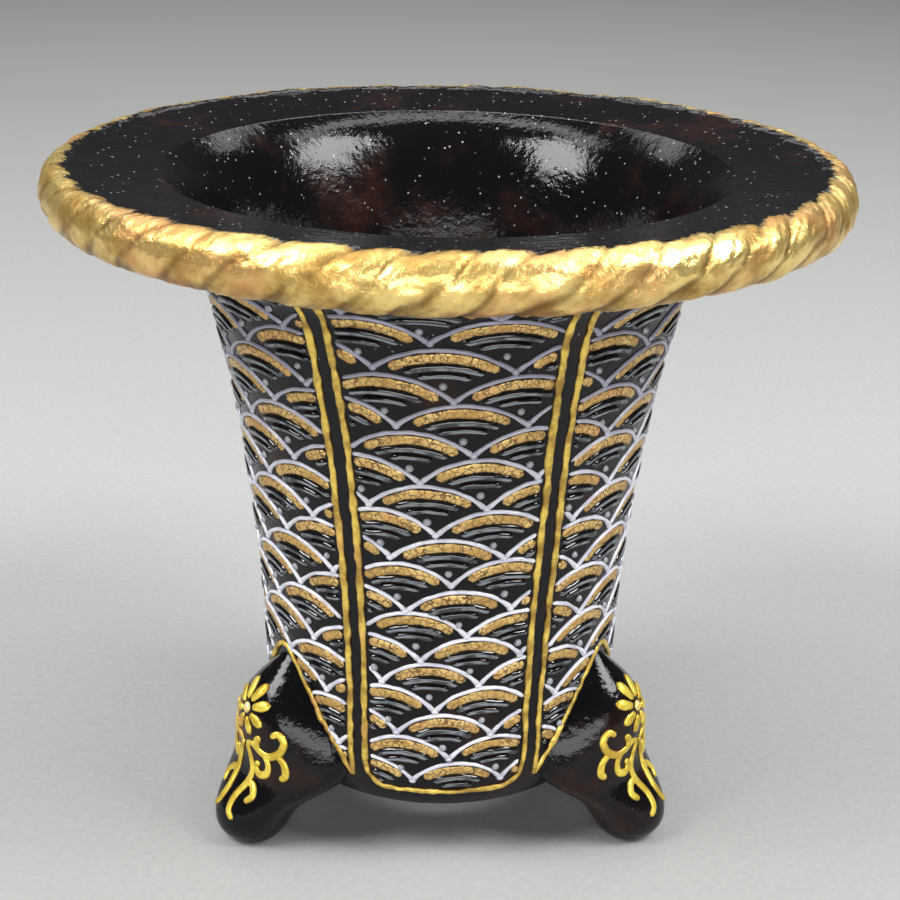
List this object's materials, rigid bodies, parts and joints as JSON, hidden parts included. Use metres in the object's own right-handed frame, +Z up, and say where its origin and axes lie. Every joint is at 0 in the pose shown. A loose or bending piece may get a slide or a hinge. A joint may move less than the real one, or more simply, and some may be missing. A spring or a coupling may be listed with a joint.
{
  "type": "footed orchid pot",
  "caption": "Flared footed orchid pot in black glazed ceramic: twisted gilt rope rim, trailed wave-scale panels with gold borders, scrolled feet, round drain hole",
  "frame": {"origin": "on the ground, under the middle of the pot, level with the soles of its three feet", "axes": "+Z up along the pot's axis; -Y out through the middle of the plain front panel; +X to the right seen from the front"},
  "size_m": [0.1081, 0.108, 0.0974],
  "materials": {
    "black_glaze": "gloss",
    "gold_slip": "gilded satin",
    "pale_slip": "gloss",
    "grey_slip": "gloss"
  },
  "bodies": {
    "root": {"thrown_body": "black_glaze", "rope_rim": "gold_slip", "foot_front_right": "black_glaze", "foot_flower_front_right": "gold_slip", "foot_scroll_front_right": "gold_slip", "foot_rear": "black_glaze", "foot_flower_rear": "gold_slip", "foot_scroll_rear": "gold_slip", "foot_front_left": "black_glaze", "foot_flower_front_left": "gold_slip", "foot_scroll_front_left": "gold_slip", "gold_border_front": "gold_slip", "wave_lines_front": "pale_slip", "wave_gilding_front": "gold_slip", "wave_ripples_front": "grey_slip", "gold_border_rear_right": "gold_slip", "wave_lines_rear_right": "pale_slip", "wave_gilding_rear_right": "gold_slip", "wave_ripples_rear_right": "grey_slip", "gold_border_rear_left": "gold_slip", "wave_lines_rear_left": "pale_slip", "wave_gilding_rear_left": "gold_slip", "wave_ripples_rear_left": "grey_slip", "gold_border_front_right": "gold_slip", "wave_lines_front_right": "pale_slip", "wave_gilding_front_right": "gold_slip", "wave_ripples_front_right": "grey_slip", "gold_border_rear": "gold_slip", "wave_lines_rear": "pale_slip", "wave_gilding_rear": "gold_slip", "wave_ripples_rear": "grey_slip", "gold_border_front_left": "gold_slip", "wave_lines_front_left": "pale_slip", "wave_gilding_front_left": "gold_slip", "wave_ripples_front_left": "grey_slip"}
  },
  "joints": []
}
